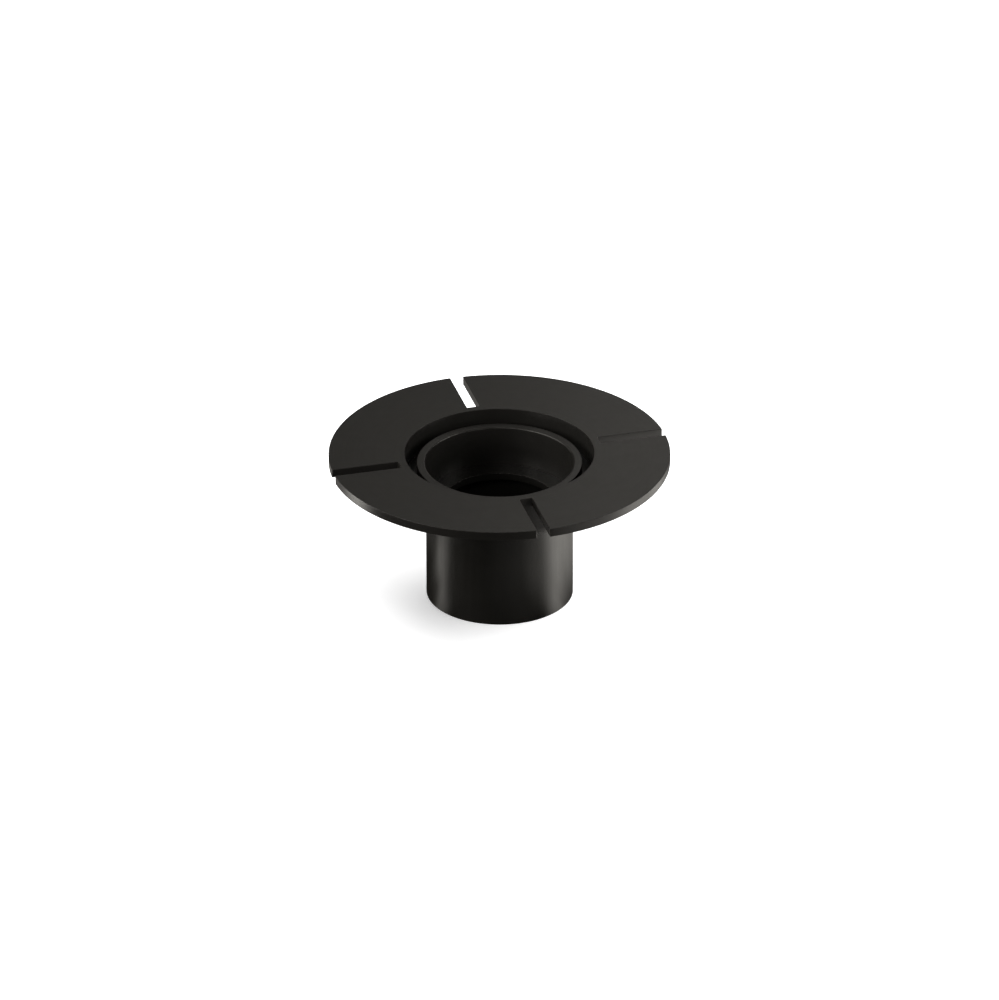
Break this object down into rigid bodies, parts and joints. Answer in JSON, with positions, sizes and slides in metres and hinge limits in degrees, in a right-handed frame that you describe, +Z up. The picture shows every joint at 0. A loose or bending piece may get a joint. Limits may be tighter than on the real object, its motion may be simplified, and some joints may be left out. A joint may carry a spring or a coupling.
{
  "type": "toilet flange",
  "caption": "Round slotted floor plate with a wide throat, an inner pipe hub with a stop ledge, and a spigot pipe below, in black plastic.",
  "frame": {"origin": "centre of the spigot pipe's lower end face, on the fitting's axis", "axes": "+Z up along the axis towards the toilet; the four bolt slots lie along +X, +Y, -X and -Y"},
  "size_m": [0.2058, 0.2058, 0.094],
  "materials": {
    "plate_abs": "satin moulded black ABS",
    "socket_abs": "satin moulded black ABS",
    "pipe_abs": "smooth extruded black ABS pipe"
  },
  "bodies": {
    "root": {"flange_plate": "plate_abs", "throat_collar": "socket_abs", "groove_floor": "socket_abs", "hub_sleeve": "socket_abs", "stop_ring": "socket_abs", "spigot_pipe": "pipe_abs"}
  },
  "joints": []
}
